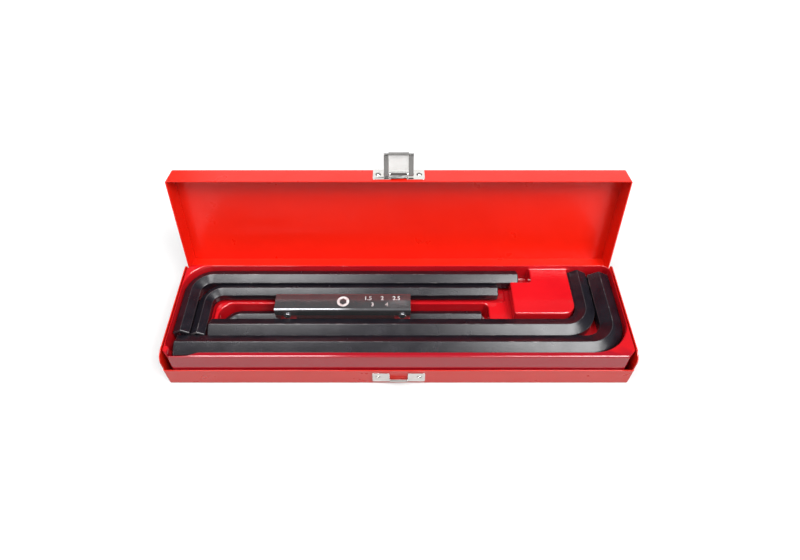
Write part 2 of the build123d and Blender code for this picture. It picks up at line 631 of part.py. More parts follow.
with BuildPart() as folding_channel:
    with BuildSketch(base_section(SET_X0)) as channel_outside:
        span(SET_Y0, SET_Y1, SET_Z0, SET_Z1)
        fillet(channel_outside.vertices().group_by(Axis.Y)[-1], radius=CHANNEL_BEND)
    extrude(amount=SET_LEN)
    with BuildSketch(base_section(SET_X0)) as channel_inside:
        span(SET_Y0 + SET_T, SET_Y1 - SET_T, SET_Z0, SET_Z1 - SET_T)
        fillet(channel_inside.vertices().group_by(Axis.Y)[-1], radius=CHANNEL_BEND - SET_T)
    extrude(amount=SET_LEN, mode=Mode.SUBTRACT)
    lower = [
        e
        for e in folding_channel.edges().filter_by(Axis.Y)
        if abs(e.center().Z - SET_Z0) < 0.01
    ]
    fillet(lower, radius=CHEEK_CORNER)
    with BuildSketch(base_wall(SET_Y0)):
        with Locations(*[(x, PIVOT_Z) for x in boss_x]):
            Circle(PIVOT_R + PIVOT_RUNNING)
    extrude(amount=-SET_W, mode=Mode.SUBTRACT)
finish(folding_channel, "folding_channel")

with BuildPart() as folding_pivot_screws:
    for x in boss_x:
        with BuildSketch(base_wall(SET_Y0)):
            with Locations((x, PIVOT_Z)):
                Circle(HEAD_R)
        extrude(amount=HEAD_T)
        with BuildSketch(base_wall(SET_Y0)):
            with Locations((x, PIVOT_Z)):
                Circle(PIVOT_R)
        extrude(amount=-(SET_W + NUT_T))
    rims = folding_pivot_screws.edges().filter_by(GeomType.CIRCLE).group_by(Axis.Y)[0]
    fillet(rims, radius=HEAD_T * 0.6)
    for x in boss_x:
        with BuildSketch(base_wall(SET_Y0 - HEAD_T)):
            with Locations((x, PIVOT_Z)):
                Rectangle(2 * HEAD_R + 1, DRIVE_SLOT)
        extrude(amount=-HEAD_T * 0.45, mode=Mode.SUBTRACT)
finish(folding_pivot_screws, "folding_pivot_screws")

with BuildPart() as folding_pivot_nuts:
    with BuildSketch(base_wall(SET_Y1)):
        with Locations(*[(x, PIVOT_Z) for x in boss_x]):
            RegularPolygon(radius=NUT_FLATS / 2, side_count=6, major_radius=False)
            Circle(PIVOT_R + RIVET_CLEAR, mode=Mode.SUBTRACT)
    extrude(amount=-NUT_T)
finish(folding_pivot_nuts, "folding_pivot_nuts")

# across flats: length from the pivot to the tip, and the pivot that it turns on
SMALL_KEYS = {4.0: (94.0, 0), 3.0: (87.0, 1), 2.5: (80.0, 0), 2.0: (73.0, 1), 1.5: (66.0, 0)}
lane_start = {}
lane_y = SET_Y0 + SET_T + LANE_GAP / 2
for size in SMALL_KEYS:
    lane_start[size] = lane_y
    lane_y += max(size, EYE_MIN_W) + LANE_GAP
spare = SET_Y1 - SET_T - LANE_GAP / 2 - lane_y
for size in SMALL_KEYS:
    lane_start[size] += (spare + LANE_GAP) / 2


def small_key(size):
    """One straight folding key: an eye on its pivot and a hexagonal shank."""
    length, pivot = SMALL_KEYS[size]
    x = boss_x[pivot]
    way = 1 - 2 * pivot
    width = max(size, EYE_MIN_W)
    y0 = lane_start[size]
    with BuildSketch(base_wall(y0)) as eye:
        with Locations((x, PIVOT_Z)):
            Circle(EYE_R)
            Circle(PIVOT_R + PIVOT_RUNNING, mode=Mode.SUBTRACT)
    extrude(eye.sketch, amount=-width)
    neck = EYE_R - 0.5
    shank = Plane(
        origin=(x + way * neck, y0 + width / 2, PIVOT_Z),
        x_dir=(0, 1, 0),
        z_dir=(way, 0, 0),
    )
    with BuildSketch(shank) as bar:
        RegularPolygon(radius=size / math.sqrt(3), side_count=6, rotation=30)
    extrude(bar.sketch, amount=length - neck)


with BuildPart() as small_key_4:
    small_key(4.0)
finish(small_key_4, "small_key_4")

with BuildPart() as small_key_3:
    small_key(3.0)
finish(small_key_3, "small_key_3")

with BuildPart() as small_key_2_5:
    small_key(2.5)
finish(small_key_2_5, "small_key_2_5")

with BuildPart() as small_key_2:
    small_key(2.0)
finish(small_key_2, "small_key_2")

with BuildPart() as small_key_1_5:
    small_key(1.5)
finish(small_key_1_5, "small_key_1_5")

with BuildPart() as folding_spacers:
    for size in SMALL_KEYS:
        other = boss_x[1 - SMALL_KEYS[size][1]]
        with BuildSketch(base_wall(lane_start[size])):
            with Locations((other, PIVOT_Z)):
                Circle(SPACER_R)
                Circle(PIVOT_R + PIVOT_RUNNING, mode=Mode.SUBTRACT)
        extrude(amount=-max(size, EYE_MIN_W))
finish(folding_spacers, "folding_spacers")
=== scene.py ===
"""Looks of the hex key set: red enamelled case, glossy formed tray, black keys, nickel latch.

Metres, in the CAD model's frame.  Plan layouts are written in millimetres and scaled by MM.
"""
import math

import bmesh
import bpy
import numpy as np
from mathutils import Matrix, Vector
from mathutils.geometry import delaunay_2d_cdt


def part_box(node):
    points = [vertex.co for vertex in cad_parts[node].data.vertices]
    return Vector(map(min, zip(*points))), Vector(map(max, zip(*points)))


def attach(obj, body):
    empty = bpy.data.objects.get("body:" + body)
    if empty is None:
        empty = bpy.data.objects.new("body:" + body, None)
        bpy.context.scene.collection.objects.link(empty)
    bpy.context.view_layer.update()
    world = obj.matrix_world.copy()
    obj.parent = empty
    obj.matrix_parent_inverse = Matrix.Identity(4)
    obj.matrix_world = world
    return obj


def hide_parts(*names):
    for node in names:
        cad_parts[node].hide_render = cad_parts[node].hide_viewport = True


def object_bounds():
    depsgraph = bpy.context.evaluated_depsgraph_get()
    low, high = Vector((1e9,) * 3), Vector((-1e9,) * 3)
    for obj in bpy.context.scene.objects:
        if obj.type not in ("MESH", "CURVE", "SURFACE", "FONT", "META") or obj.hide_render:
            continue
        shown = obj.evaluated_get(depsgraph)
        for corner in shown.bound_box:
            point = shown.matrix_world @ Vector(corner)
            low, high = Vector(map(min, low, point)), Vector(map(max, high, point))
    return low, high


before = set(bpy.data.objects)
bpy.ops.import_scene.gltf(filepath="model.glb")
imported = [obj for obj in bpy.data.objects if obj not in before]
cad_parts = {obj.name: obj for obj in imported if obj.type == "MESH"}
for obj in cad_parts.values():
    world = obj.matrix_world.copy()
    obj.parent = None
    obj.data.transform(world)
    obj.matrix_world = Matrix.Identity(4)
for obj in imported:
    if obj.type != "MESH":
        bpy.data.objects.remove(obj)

MM = 0.001
cad_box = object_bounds()
base_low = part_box("case_base")[0]
scene = bpy.context.scene
scene.view_settings.view_transform = "Standard"


# ---- camera ---------------------------------------------------------------------------------
CAMERA_AHEAD = 0.243  # in front of the case's front face
CAMERA_HEIGHT = 0.466  # above the floor
CAMERA_PITCH = 47.98  # degrees below the horizon
CAMERA_LENS = 26.86  # on the 36 mm sensor
CAMERA_SHIFT = (0.0016, -0.0639)


def make_camera():
    data = bpy.data.cameras.new("camera")
    camera = bpy.data.objects.new("camera", data)
    scene.collection.objects.link(camera)
    camera.location = (0, base_low.y - CAMERA_AHEAD, base_low.z + CAMERA_HEIGHT)
    camera.rotation_euler = (math.radians(90 - CAMERA_PITCH), 0, 0)
    data.lens = CAMERA_LENS
    data.sensor_width = 36
    data.shift_x, data.shift_y = CAMERA_SHIFT
    data.clip_start, data.clip_end = 0.01, 50
    scene.camera = camera


make_camera()


# ---- stage and light ------------------------------------------------------------------------
FILL_FRONT = 0.22  # brightness of the surroundings in front
FILL_BACK = 0.10  # and behind, which the bright metal mirrors
FLOOR_LIFT = (0.34, 1.0)  # light that the camera sees in the floor besides what falls on it,
FLOOR_REACH = (0.18, 0.6)  # at these distances from the middle
FLOOR_HALF = 12.0  # half the floor's width
FLOOR_DROP = 0.0002  # below the case
PALE = (0.38, 0.38, 0.38, 1)
WHITE = (1, 1, 1, 1)
LIGHTS = [  # name, place, what it faces, width and length, watts
    ("ceiling", (0.0, -0.4, 2.2), (0, -0.4, 0), (2.6, 1.5), 7),
    ("softbox_key", (0.7, -0.55, 1.35), (0, 0, 0.05), (0.8, 0.7), 31),
    ("softbox_top", (-0.36, -0.15, 1.15), (-0.36, -0.15, 0), (0.4, 0.7), 13),
    ("softbox_right", (0.95, -0.75, 0.75), (0, 0, 0.05), (0.8, 0.7), 4),
    ("softbox_left", (-0.62, -1.5, 0.34), (-0.15, 0, 0.05), (0.5, 0.4), 3.5),
    ("softbox_back", (0.1, 1.2, 0.5), (0, 0.05, 0.08), (1.4, 0.45), 2.2),
]


def area_light(name, place, target, size, power):
    data = bpy.data.lights.new(name, "AREA")
    data.shape = "RECTANGLE"
    data.size, data.size_y = size
    data.energy = power
    light = bpy.data.objects.new(name, data)
    scene.collection.objects.link(light)
    light.location = place
    light.rotation_euler = (Vector(target) - Vector(place)).to_track_quat("-Z", "Y").to_euler()


def set_ramp(node, low, high, to_low, to_high):
    """Make a map-range node take low to to_low and high to to_high."""
    for socket, number in zip(node.inputs[1:5], (low, high, to_low, to_high)):
        socket.default_value = number


def make_world():
    """Soft light all round, stronger in front than behind, before a white backdrop."""
    world = bpy.data.worlds.new("studio")
    scene.world = world
    world.use_nodes = True
    tree = world.node_tree
    tree.nodes.clear()
    out = tree.nodes.new("ShaderNodeOutputWorld")
    mix = tree.nodes.new("ShaderNodeMixShader")
    path = tree.nodes.new("ShaderNodeLightPath")
    seen = tree.nodes.new("ShaderNodeBackground")
    fill = tree.nodes.new("ShaderNodeBackground")
    direction = tree.nodes.new("ShaderNodeTexCoord")
    parts = tree.nodes.new("ShaderNodeSeparateXYZ")
    ramp = tree.nodes.new("ShaderNodeMapRange")
    seen.inputs["Color"].default_value = WHITE
    fill.inputs["Color"].default_value = WHITE
    set_ramp(ramp, -0.5, 0.5, FILL_FRONT, FILL_BACK)
    tree.links.new(direction.outputs["Generated"], parts.inputs[0])
    tree.links.new(parts.outputs["Y"], ramp.inputs[0])
    tree.links.new(ramp.outputs[0], fill.inputs["Strength"])
    tree.links.new(path.outputs["Is Camera Ray"], mix.inputs["Fac"])
    tree.links.new(fill.outputs[0], mix.inputs[1])
    tree.links.new(seen.outputs[0], mix.inputs[2])
    tree.links.new(mix.outputs[0], out.inputs["Surface"])


def make_floor():
    """A pale floor, lifted towards white where it is seen directly, and more so far out."""
    material = bpy.data.materials.new("floor_white")
    material.use_nodes = True
    tree = material.node_tree
    bsdf = tree.nodes["Principled BSDF"]
    bsdf.inputs["Base Color"].default_value = PALE
    bsdf.inputs["Roughness"].default_value = 0.9
    bsdf.inputs["Specular IOR Level"].default_value = 0.1
    bsdf.inputs["Emission Color"].default_value = WHITE
    path = tree.nodes.new("ShaderNodeLightPath")
    lift = tree.nodes.new("ShaderNodeMath")
    lift.operation = "MULTIPLY"
    place = tree.nodes.new("ShaderNodeTexCoord")
    distance = tree.nodes.new("ShaderNodeVectorMath")
    distance.operation = "LENGTH"
    ramp = tree.nodes.new("ShaderNodeMapRange")
    set_ramp(ramp, *FLOOR_REACH, *FLOOR_LIFT)
    tree.links.new(place.outputs["Object"], distance.inputs[0])
    tree.links.new(distance.outputs["Value"], ramp.inputs[0])
    tree.links.new(path.outputs["Is Camera Ray"], lift.inputs[0])
    tree.links.new(ramp.outputs[0], lift.inputs[1])
    tree.links.new(lift.outputs[0], bsdf.inputs["Emission Strength"])
    mesh = bpy.data.meshes.new("floor")
    corners = [(x * FLOOR_HALF, y * FLOOR_HALF, 0) for x, y in ((-1, -1), (1, -1), (1, 1), (-1, 1))]
    mesh.from_pydata(corners, [], [(0, 1, 2, 3)])
    mesh.materials.append(material)
    floor = bpy.data.objects.new("floor", mesh)
    scene.collection.objects.link(floor)
    floor.location.z = cad_box[0].z - FLOOR_DROP


make_world()
make_floor()
for light in LIGHTS:
    area_light(*light)


# ---- materials ------------------------------------------------------------------------------
class Finish:
    """A Principled material whose colour, roughness and bump come from noise in object space."""

    def __init__(self, name, roughness, metallic=0.0, **constants):
        self.material = bpy.data.materials.new(name)
        self.material.use_nodes = True
        self.tree = self.material.node_tree
        self.bsdf = self.tree.nodes["Principled BSDF"]
        self.bsdf.inputs["Roughness"].default_value = roughness
        self.bsdf.inputs["Metallic"].default_value = metallic
        for socket, value in constants.items():
            self.bsdf.inputs[socket.replace("_", " ")].default_value = value
        self.place = self.tree.nodes.new("ShaderNodeTexCoord").outputs["Object"]
        self.last_bump = None

    def noise(self, size, stretch=(1, 1, 1), detail=3.0, seed=0.0):
        """Noise whose features are about size metres across, longer along a small stretch."""
        mapping = self.tree.nodes.new("ShaderNodeMapping")
        mapping.inputs["Scale"].default_value = [s / size for s in stretch]
        mapping.inputs["Location"].default_value = (seed, seed * 0.7, seed * 1.3)
        self.tree.links.new(self.place, mapping.inputs["Vector"])
        noise = self.tree.nodes.new("ShaderNodeTexNoise")
        noise.inputs["Scale"].default_value = 1.0
        noise.inputs["Detail"].default_value = detail
        self.tree.links.new(mapping.outputs[0], noise.inputs["Vector"])
        return noise.outputs["Fac"]

    def span(self, value, low, high, to_low, to_high):
        """Stretch the part of a value between low and high to lie between two others."""
        node = self.tree.nodes.new("ShaderNodeMapRange")
        set_ramp(node, low, high, to_low, to_high)
        self.tree.links.new(value, node.inputs[0])
        return node.outputs[0]

    def mix(self, share, first, second):
        """Mix two colours, each a tuple or a socket, by a share."""
        node = self.tree.nodes.new("ShaderNodeMix")
        node.data_type = "RGBA"
        self.tree.links.new(share, node.inputs["Factor"])
        for index, colour in ((6, first), (7, second)):
            if isinstance(colour, tuple):
                node.inputs[index].default_value = (*colour, 1)
            else:
                self.tree.links.new(colour, node.inputs[index])
        return node.outputs[2]

    def colour(self, socket):
        self.tree.links.new(socket, self.bsdf.inputs["Base Color"])

    def rough(self, socket):
        self.tree.links.new(socket, self.bsdf.inputs["Roughness"])

    def bump(self, height, depth):
        """Add a layer of bump, depth metres deep."""
        node = self.tree.nodes.new("ShaderNodeBump")
        node.inputs["Strength"].default_value = 1.0
        node.inputs["Distance"].default_value = depth
        self.tree.links.new(height, node.inputs["Height"])
        if self.last_bump:
            self.tree.links.new(self.last_bump, node.inputs["Normal"])
        self.last_bump = node.outputs[0]
        self.tree.links.new(self.last_bump, self.bsdf.inputs["Normal"])


def red_enamel(name, tone, gloss):
    """Stoved enamel: slight orange peel, faint cloudiness and uneven gloss."""
    f = Finish(name, 0.3, Specular_IOR_Level=gloss, Coat_Weight=0.6 * gloss, Coat_Roughness=0.14)
    clouds = f.span(f.noise(0.03), 0.2, 0.8, 0, 1)
    light = (tone, 0.0180 * tone, 0.0052 * tone)
    dark = (0.95 * tone, 0.0150 * tone, 0.0045 * tone)
    f.colour(f.mix(clouds, dark, light))
    f.rough(f.span(f.noise(0.02, seed=7.0), 0.2, 0.8, 0.26, 0.34))
    f.bump(f.noise(0.0022, detail=1.0), 0.00001)
    f.bump(f.noise(0.02, detail=1.0, seed=5.0), 0.00002)
    return f.material


def enamel_edge():
    """Enamel on a sheet edge: thinner, with the steel rubbed bare here and there."""
    f = Finish("enamel_edge", 0.3)
    bare = f.span(f.noise(0.006, detail=6.0, seed=11.0), 0.66, 0.70, 0, 1)
    f.colour(f.mix(bare, (0.58, 0.02, 0.012), (0.42, 0.36, 0.34)))
    f.tree.links.new(bare, f.bsdf.inputs["Metallic"])
    f.bump(f.noise(0.0015, detail=2.0), 0.00003)
    return f.material


def red_plastic():
    """Thin glossy formed sheet with a slow ripple, and painted shade: a darker red on its front rim and
    skirt.
    """
    f = Finish("red_plastic", 0.1, Specular_IOR_Level=0.5, Coat_Weight=0.6, Coat_Roughness=0.06)
    depth = f.span(f.noise(0.05), 0.3, 0.7, 0, 1)
    thick = f.mix(depth, (0.40, 0.004, 0.008), (0.47, 0.006, 0.010))
    painted_front_shade = f.tree.nodes.new("ShaderNodeAttribute")
    painted_front_shade.attribute_name = "painted_front_shade"
    # painted shade: the marked front rim and skirt take a darker red (0.26) instead of the sheet's own
    # red
    f.colour(f.mix(painted_front_shade.outputs["Fac"], thick, (0.26, 0.004, 0.011)))
    f.rough(f.span(f.noise(0.004, detail=4.0, seed=2.0), 0.3, 0.8, 0.08, 0.2))
    f.bump(f.noise(0.035, detail=1.0, seed=4.0), 0.0006)
    f.bump(f.noise(0.006, detail=1.0, seed=9.0), 0.00002)
    return f.material


def black_oxide():
    """Oiled black oxide: a dark skin with drier patches and fine drag marks."""
    f = Finish("black_oxide", 0.34, Specular_IOR_Level=0.36)
    patches = f.span(f.noise(0.009, detail=5.0), 0.3, 0.7, 0, 1)
    f.colour(f.mix(patches, (0.0045, 0.004, 0.0065), (0.010, 0.009, 0.013)))
    f.rough(f.span(f.noise(0.012, detail=3.0, seed=6.0), 0.2, 0.8, 0.2, 0.29))
    f.bump(f.noise(0.0007, (0.08, 1, 1), seed=8.0), 0.00001)
    f.bump(f.noise(0.003, detail=4.0, seed=1.0), 0.00001)
    return f.material


def worn_ridge():
    """Black oxide on the ridges, where handling has polished it."""
    f = Finish("worn_ridge", 0.26, Specular_IOR_Level=0.5)
    worn = f.span(f.noise(0.008, detail=5.0, seed=12.0), 0.56, 0.75, 0, 1)
    f.colour(f.mix(worn, (0.020, 0.018, 0.021), (0.16, 0.15, 0.15)))
    f.tree.links.new(f.span(worn, 0, 1, 0, 0.8), f.bsdf.inputs["Metallic"])
    f.bump(f.noise(0.002, detail=3.0), 0.00002)
    return f.material


def plated(name, tone, roughness, grain=None, metallic=1.0):
    """Plated steel; grain is how the brushing is stretched along x, y and z."""
    f = Finish(name, roughness, metallic)
    dull = tuple(0.86 * c for c in tone)
    f.colour(f.mix(f.span(f.noise(0.012, detail=4.0), 0.35, 0.7, 0, 1), tone, dull))
    f.rough(f.span(f.noise(0.005, detail=5.0, seed=2.0), 0.3, 0.75, roughness * 0.75, roughness * 1.5))
    if grain:
        f.bump(f.noise(0.0005, grain, seed=4.0), 0.000003)
    f.bump(f.noise(0.004, detail=2.0, seed=5.0), 0.000006)
    return f.material


# painted shade: the case is one red enamel, but the base's copy is made darker (0.47 against the lid's
# 0.66)
LID_ENAMEL = red_enamel("red_enamel_lid", 0.66, 0.3)
SHADED_BASE_ENAMEL = red_enamel("red_enamel_base_painted_shade", 0.47, 0.5)
ENAMEL_EDGE = enamel_edge()
PLASTIC = red_plastic()
OXIDE = black_oxide()
RIDGE = worn_ridge()
BRIGHT = plated("bright_nickel", (0.80, 0.79, 0.76), 0.13)
BRIGHT_EDGE = plated("bright_nickel_edge", (0.86, 0.85, 0.82), 0.16)
SATIN = plated("satin_nickel", (0.22, 0.22, 0.23), 0.08, grain=(0.03, 1, 1), metallic=0.85)
STAMPED = plated("satin_nickel_stamped", (0.92, 0.92, 0.92), 0.5)
SATIN_EDGE = plated("satin_nickel_edge", (0.78, 0.77, 0.75), 0.2)
LEVER = plated("bright_nickel_lever", (0.93, 0.92, 0.90), 0.16, metallic=0.75)
# painted shade: a dark grey that stands in for shade on the lever's bevels, side rails and free edge
LEVER_PAINTED_SHADE = plated("bright_nickel_lever_painted_shade", (0.34, 0.33, 0.32), 0.2)
SPRING = plated("spring_steel", (0.09, 0.085, 0.08), 0.4)
ZINC = plated("zinc", (0.55, 0.56, 0.58), 0.34)
ZINC_EDGE = plated("zinc_edge", (0.66, 0.66, 0.66), 0.3)


# ---- carried-over CAD nodes -----------------------------------------------------------------
LEVER_RAIL = 3.6 * MM  # width of the lever's side rails, painted dark as shade
LEVER_TOP = 0.9 * MM  # and of its free edge, painted dark as shade too
WELD_REACH = 0.002 * MM
FLAT_ANGLE = math.radians(0.4)  # faces that meet at less than this are one flat face
EDGE_ANGLE = math.radians(30)  # and at more than this, an edge to round
NORMAL_WEIGHT = 80


def soften(name, material, edge_material, width, segments=2):
    """Give a CAD node its finish, and round its edges with modifiers that leave its mesh alone."""
    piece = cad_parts[name]
    piece.data.materials.clear()
    piece.data.materials.append(material)
    piece.data.materials.append(edge_material)
    for polygon in piece.data.polygons:
        polygon.material_index = 0
    weld = piece.modifiers.new("weld", "WELD")
    weld.merge_threshold = WELD_REACH
    flat = piece.modifiers.new("flat", "DECIMATE")
    flat.decimate_type = "DISSOLVE"
    flat.angle_limit = FLAT_ANGLE
    bevel = piece.modifiers.new("bevel", "BEVEL")
    bevel.width = width
    bevel.segments = segments
    bevel.limit_method = "ANGLE"
    bevel.angle_limit = EDGE_ANGLE
    bevel.material = 1
    normals = piece.modifiers.new("normals", "WEIGHTED_NORMAL")
    normals.weight = NORMAL_WEIGHT


def paint_shade_on_lever():
    """Painted shade: the lever's two side rails and its free edge take a dark grey, unlike its bright
    web.
    """
    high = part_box("latch_lever")[1]
    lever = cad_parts["latch_lever"]
    for polygon in lever.data.polygons:
        centre = lever.matrix_world @ polygon.center
        rail = abs(centre.x) > high.x - LEVER_RAIL
        free_edge = centre.z > high.z - LEVER_TOP
        polygon.material_index = 1 if rail or free_edge else 0


soften("case_base", SHADED_BASE_ENAMEL, ENAMEL_EDGE, 0.22 * MM)
soften("case_lid", LID_ENAMEL, ENAMEL_EDGE, 0.22 * MM)
for name in ("hinge_leaves_base", "hinge_leaves_lid", "lid_stops"):
    soften(name, SHADED_BASE_ENAMEL, ENAMEL_EDGE, 0.15 * MM)
soften("hinge_rivets_base", SHADED_BASE_ENAMEL, SHADED_BASE_ENAMEL, 0.1 * MM)
soften("hinge_rivets_lid", LID_ENAMEL, LID_ENAMEL, 0.1 * MM)
soften("hinge_pins", ZINC, ZINC_EDGE, 0.15 * MM)
for size in ("19", "17", "14", "12", "10"):
    soften("hex_key_" + size, OXIDE, RIDGE, (0.25 + 0.012 * float(size)) * MM)
for size in ("4", "3", "2_5", "2", "1_5"):
    soften("small_key_" + size, OXIDE, RIDGE, 0.1 * MM)
for name in ("latch_plate", "keeper_plate", "latch_rivets", "keeper_rivets"):
    soften(name, BRIGHT, BRIGHT_EDGE, 0.22 * MM)
soften("latch_lever", LEVER, LEVER_PAINTED_SHADE, 0.35 * MM, segments=3)
paint_shade_on_lever()
soften("latch_pin", SPRING, SPRING, 0.15 * MM)
for name in ("folding_channel", "folding_pivot_screws", "folding_pivot_nuts", "folding_spacers"):
    soften(name, SATIN, SATIN_EDGE, 0.15 * MM)


# ---- formed tray ----------------------------------------------------------------------------
# Plan outlines in millimetres, anticlockwise: x, y and the radius of each corner.
TRAY_LOW, TRAY_HIGH = (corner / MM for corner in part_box("key_tray"))
TRAY_RIM = TRAY_HIGH.z
TRAY_CUT, CUT_R = 6.5, 1.6  # the front corners are cut off across this, and eased
TRAY_CORNER_R = 7.0  # the back ones are round
POCKET_X = TRAY_HIGH.x - 1.2
POCKET_FRONT = TRAY_LOW.y + 5.4
POCKET_BACK = TRAY_HIGH.y - 1.2
BAY_LEFT = -188.2
BAY_FRONT = -44.8
CHANNEL_BACK = -3.4
ISLAND_LEFT, ISLAND_RIGHT, ISLAND_FRONT = 100.0, 154.4, -2.4
INSIDE_17 = 11.3
OUTSIDE_19 = 32.5
OUTSIDE_14 = 24.0
BOSS_LEFT, BOSS_RIGHT, BOSS_W, BOSS_BACK = -97.3, 3.0, 15.0, 4.2
BAY = [
    (BAY_LEFT, BAY_FRONT, 2.0),
    (-173.0, BAY_FRONT, 8.0),
    (-164.0, POCKET_FRONT, 8.0),
]

OUTLINE = [
    (TRAY_LOW.x + TRAY_CUT, TRAY_LOW.y, CUT_R),
    (TRAY_HIGH.x - TRAY_CUT, TRAY_LOW.y, CUT_R),
    (TRAY_HIGH.x, TRAY_LOW.y + TRAY_CUT, CUT_R),
    (TRAY_HIGH.x, TRAY_HIGH.y, TRAY_CORNER_R),
    (TRAY_LOW.x, TRAY_HIGH.y, TRAY_CORNER_R),
    (TRAY_LOW.x, TRAY_LOW.y + TRAY_CUT, CUT_R),
]
OPEN_AREA = BAY + [
    (POCKET_X, POCKET_FRONT, OUTSIDE_19),
    (POCKET_X, POCKET_BACK, 5.0),
    (ISLAND_RIGHT, POCKET_BACK, 3.0),
    (ISLAND_RIGHT, ISLAND_FRONT, INSIDE_17),
    (ISLAND_LEFT, ISLAND_FRONT, 3.0),
    (ISLAND_LEFT, POCKET_BACK, 3.0),
    (-POCKET_X, POCKET_BACK, OUTSIDE_14),
    (-POCKET_X, POCKET_FRONT + 6, 3.0),
    (BAY_LEFT, POCKET_FRONT + 6, 3.0),
]
BIG_CHANNEL = BAY + [
    (POCKET_X, POCKET_FRONT, OUTSIDE_19),
    (POCKET_X, POCKET_BACK, 5.0),
    (ISLAND_RIGHT, POCKET_BACK, 3.0),
    (ISLAND_RIGHT, CHANNEL_BACK, INSIDE_17),
    (BAY_LEFT, CHANNEL_BACK, 3.0),
]
BACK_CHANNEL = [
    (-POCKET_X, -21.3, 3.0),
    (-164.0, -21.3, 3.0),
    (-164.0, 19.6, 8.0),
    (96.0, 19.6, 3.0),
    (96.0, 32.4, 2.0),
    (119.0, 32.4, 2.0),
    (119.0, POCKET_BACK, 2.0),
    (-POCKET_X, POCKET_BACK, OUTSIDE_14),
]


def boss_notch(x):
    """The middle pocket's outline around one boss, from left to right."""
    left, right = x - BOSS_W / 2, x + BOSS_W / 2
    return [
        (left, CHANNEL_BACK, 1.0),
        (left, BOSS_BACK, 2.0),
        (right, BOSS_BACK, 2.0),
        (right, CHANNEL_BACK, 1.0),
    ]


MIDDLE_POCKET = [
    (-159.8, -34.8, 3.0),
    (-147.6, -34.8, 3.0),
    (-147.6, CHANNEL_BACK, 1.5),
    *boss_notch(BOSS_LEFT),
    *boss_notch(BOSS_RIGHT),
    (80.0, CHANNEL_BACK, 3.0),
    (80.0, 16.7, 4.0),
    (-159.8, 16.7, 12.0),
]
ISLAND_TOP = [
    (ISLAND_LEFT - 5, ISLAND_FRONT - 5, 1.0),
    (ISLAND_RIGHT + 5, ISLAND_FRONT - 5, 1.0),
    (ISLAND_RIGHT + 5, POCKET_BACK, 1.0),
    (ISLAND_LEFT - 5, POCKET_BACK, 1.0),
]
TRAY_STEPS = [  # outline and height of each level, in the order in which they are pressed
    (ISLAND_TOP, 34.0),
    (OPEN_AREA, 21.0),
    (BIG_CHANNEL, 14.3),
    (BACK_CHANNEL, 19.0),
    (MIDDLE_POCKET, 2.1),
]
FOOT_R = 1.8  # radius where a wall meets a floor
LIP_R = 1.4  # radius where a wall meets the level above
WALL_RUN = 0.4  # how far a wall leans back over its height
PLAN_SLACK = 0.02  # points this close count as one, or as inside
TRAY_SKIN = 0.8
SKIRT_FLARE = 1.3  # how far the front skirt leans out on its way down
SKIRT_FLARE_LEVELS = 4  # over how many of its levels, from the top
SKIRT_RIPPLE = 0.05  # swing of its waves, added at each of those levels
SKIRT_LEVELS = 8
SKIRT_SIDE = -41.0  # the skirt is the front one where y is below this


def offset_loop(corners, grow):
    """Points of a closed outline with rounded corners, moved out by grow."""
    points = []
    count = len(corners)
    for i in range(count):
        before, here, after = (Vector(corners[(i + k) % count][:2]) for k in (-1, 0, 1))
        ahead, onward = (here - before).normalized(), (after - here).normalized()
        out_a, out_b = Vector((ahead.y, -ahead.x)), Vector((onward.y, -onward.x))
        turn = ahead.angle_signed(onward) * -1
        radius = max(corners[i][2] + math.copysign(grow, turn), 0.05)
        middle = here + (out_a + out_b) * (grow / (1 + out_a.dot(out_b)))
        start = middle - ahead * (radius * math.tan(abs(turn) / 2))
        centre = start - out_a * math.copysign(radius, turn)
        steps = max(2, math.ceil(abs(turn) / math.radians(9 if radius > 3 else 18)))
        for k in range(steps + 1):
            angle = turn * k / steps
            spoke = out_a * math.copysign(radius, turn)
            cos, sin = math.cos(angle), math.sin(angle)
            points.append(centre + Vector((spoke.x * cos - spoke.y * sin, spoke.x * sin + spoke.y * cos)))
    return points


def signed_distance(loop, points):
    """Distance of each point from a closed outline, negative inside."""
    a = np.array(loop)
    b = np.roll(a, -1, axis=0)
    edge = b - a
    p = np.asarray(points)[:, None, :]
    along = np.clip(((p - a) * edge).sum(2) / np.maximum((edge ** 2).sum(1), 1e-12), 0, 1)
    gap = np.linalg.norm(p - (a + along[..., None] * edge), axis=2).min(1)
    crosses = (a[:, 1] > p[..., 1]) != (b[:, 1] > p[..., 1])
    rise = np.where(np.abs(edge[:, 1]) < 1e-12, 1e-12, edge[:, 1])
    hit = a[:, 0] + (p[..., 1] - a[:, 1]) * edge[:, 0] / rise
    inside = (crosses & (p[..., 0] < hit)).sum(1) % 2 == 1
    return np.where(inside, -gap, gap)


def wall_height(distance, rise):
    """Height of a rounded wall above its floor, at a distance outside the floor's outline."""
    foot = np.minimum(FOOT_R, 0.45 * rise)
    lip = np.minimum(LIP_R, 0.45 * rise)
    low = foot - np.sqrt(np.maximum(foot ** 2 - np.clip(distance + foot, 0, foot) ** 2, 0))
    share = np.clip(distance / WALL_RUN, 0, 1)
    past = np.clip(distance - WALL_RUN, 0, lip)
    high = np.sqrt(np.maximum(lip ** 2 - (lip - past) ** 2, 0))
    return low + share * (rise - foot - lip) + high


def tray_height(points):
    """Height of the tray's upper face at plan points."""
    edge = -signed_distance(offset_loop(OUTLINE, 0), points)
    inset = np.clip(LIP_R - edge, 0, LIP_R)
    height = TRAY_RIM - LIP_R + np.sqrt(LIP_R ** 2 - inset ** 2)
    for corners, floor in TRAY_STEPS:
        distance = signed_distance(offset_loop(corners, 0), points)
        rise = np.maximum(height - floor, 0.01)
        height = floor + wall_height(distance, rise)
    return height


def quarter_steps(radius, count=5):
    """Distances that divide a quarter circle of a radius into equal turns."""
    return [radius * (1 - math.cos(math.pi / 2 * k / count)) for k in range(count + 1)]


